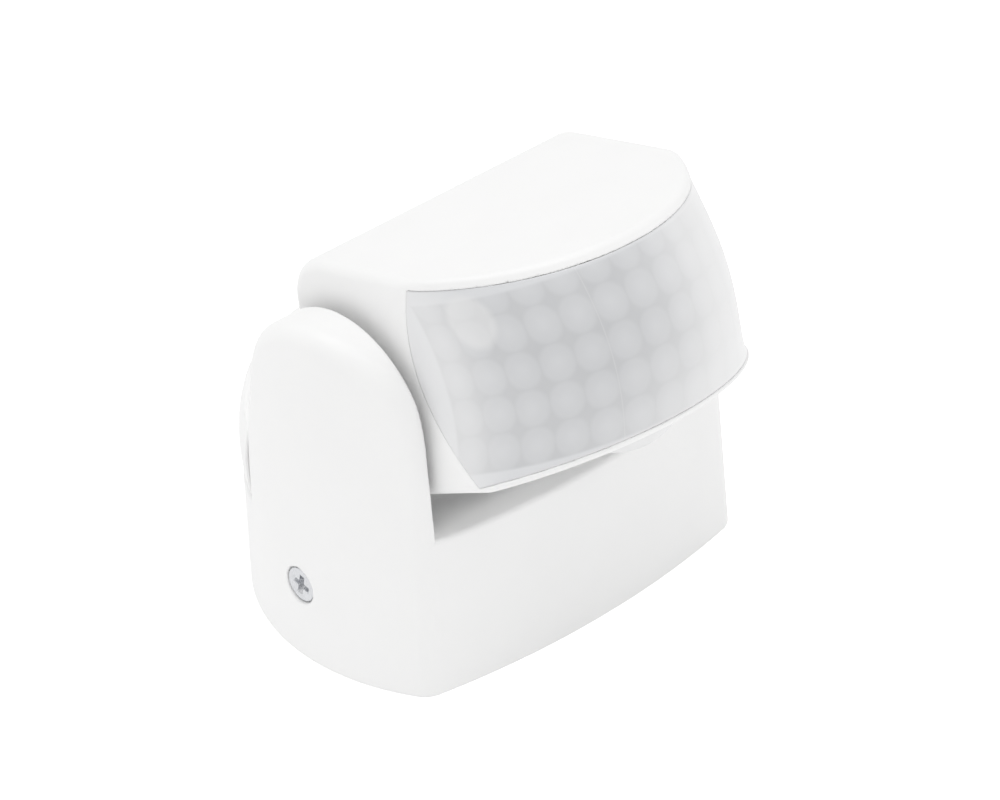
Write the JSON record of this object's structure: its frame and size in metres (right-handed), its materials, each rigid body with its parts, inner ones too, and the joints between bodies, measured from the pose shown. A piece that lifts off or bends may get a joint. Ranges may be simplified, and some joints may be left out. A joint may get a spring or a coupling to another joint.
{
  "type": "tilting motion sensor",
  "caption": "Surface-mounted infrared motion sensor: a domed lens head tilts between two ears on a round base, with setting dials on its underside.",
  "frame": {"origin": "centre of the base circle, on the mounting surface", "axes": "+Z away from the mounting surface, -Y the way the lens faces, +X completes a right-handed frame along the tilt axis"},
  "size_m": [0.076, 0.0824, 0.0741],
  "materials": {
    "white_shell": "satin white moulding",
    "milky_lens": "milky translucent polyethylene",
    "steel": "bright zinc-plated steel",
    "tin": "tinned metal",
    "rubber": "matt black rubber",
    "silicone": "pale silicone",
    "nylon": "natural nylon",
    "grey_plastic": "grey moulding",
    "black_plastic": "black moulding",
    "blue_plastic": "blue relay case",
    "circuit_board": "green solder mask",
    "wire": "PVC sleeve",
    "dark_window": "dark infrared window",
    "red_lamp": "tinted lamp body"
  },
  "bodies": {
    "base": {"base_housing": "white_shell", "rear_cover": "white_shell", "rear_cover_screw": "steel", "mounting_plate": "grey_plastic", "wall_gasket": "rubber", "cable_grommet": "rubber", "side_screw_left": "steel", "side_screw_right": "steel", "board_screw_left": "steel", "board_screw_right": "steel", "friction_ring_left": "silicone", "friction_ring_right": "silicone", "power_board": "circuit_board", "terminal_block": "nylon", "terminal_screw_1": "tin", "terminal_screw_2": "tin", "terminal_screw_3": "tin", "terminal_screw_4": "tin", "relay": "blue_plastic", "film_capacitor": "grey_plastic", "smoothing_capacitor": "black_plastic", "fuse": "tin", "base_harness": "wire"},
    "head": {"head_shell": "white_shell", "fresnel_lens": "milky_lens", "lens_frame": "nylon", "underside_panel": "white_shell", "look_down_lens": "milky_lens", "head_screw_1": "steel", "head_screw_2": "steel", "head_screw_3": "steel", "head_screw_4": "steel", "sensitivity_potentiometer": "black_plastic", "time_potentiometer": "black_plastic", "lux_potentiometer": "black_plastic", "control_board": "circuit_board", "sensor_board": "circuit_board", "sensor_can": "tin", "sensor_window": "dark_window", "indicator_lamp": "red_lamp", "light_sensor": "dark_window", "board_connector": "nylon", "head_harness": "wire", "trunnion_left": "nylon", "trunnion_right": "nylon", "retaining_clip_left": "steel", "retaining_clip_right": "steel"},
    "sensitivity_dial": {"sensitivity_dial": "grey_plastic"},
    "time_dial": {"time_dial": "grey_plastic"},
    "lux_dial": {"lux_dial": "grey_plastic"}
  },
  "joints": [
    {"name": "head_tilt", "type": "hinge", "parent": "base", "child": "head", "pos_m": [0, -0.0028, 0.0414], "axis": [-1, 0, 0], "range_deg": [-20, 70]},
    {"name": "sensitivity_turn", "type": "hinge", "parent": "head", "child": "sensitivity_dial", "pos_m": [-0.013, -0.013, 0.03092], "axis": [0, 0.4427, 0.8967], "range_deg": [-135, 135]},
    {"name": "time_turn", "type": "hinge", "parent": "head", "child": "time_dial", "pos_m": [0, -0.013, 0.03092], "axis": [0, 0.4427, 0.8967], "range_deg": [-135, 135]},
    {"name": "lux_turn", "type": "hinge", "parent": "head", "child": "lux_dial", "pos_m": [0.013, -0.013, 0.03092], "axis": [0, 0.4427, 0.8967], "range_deg": [-135, 135]}
  ]
}
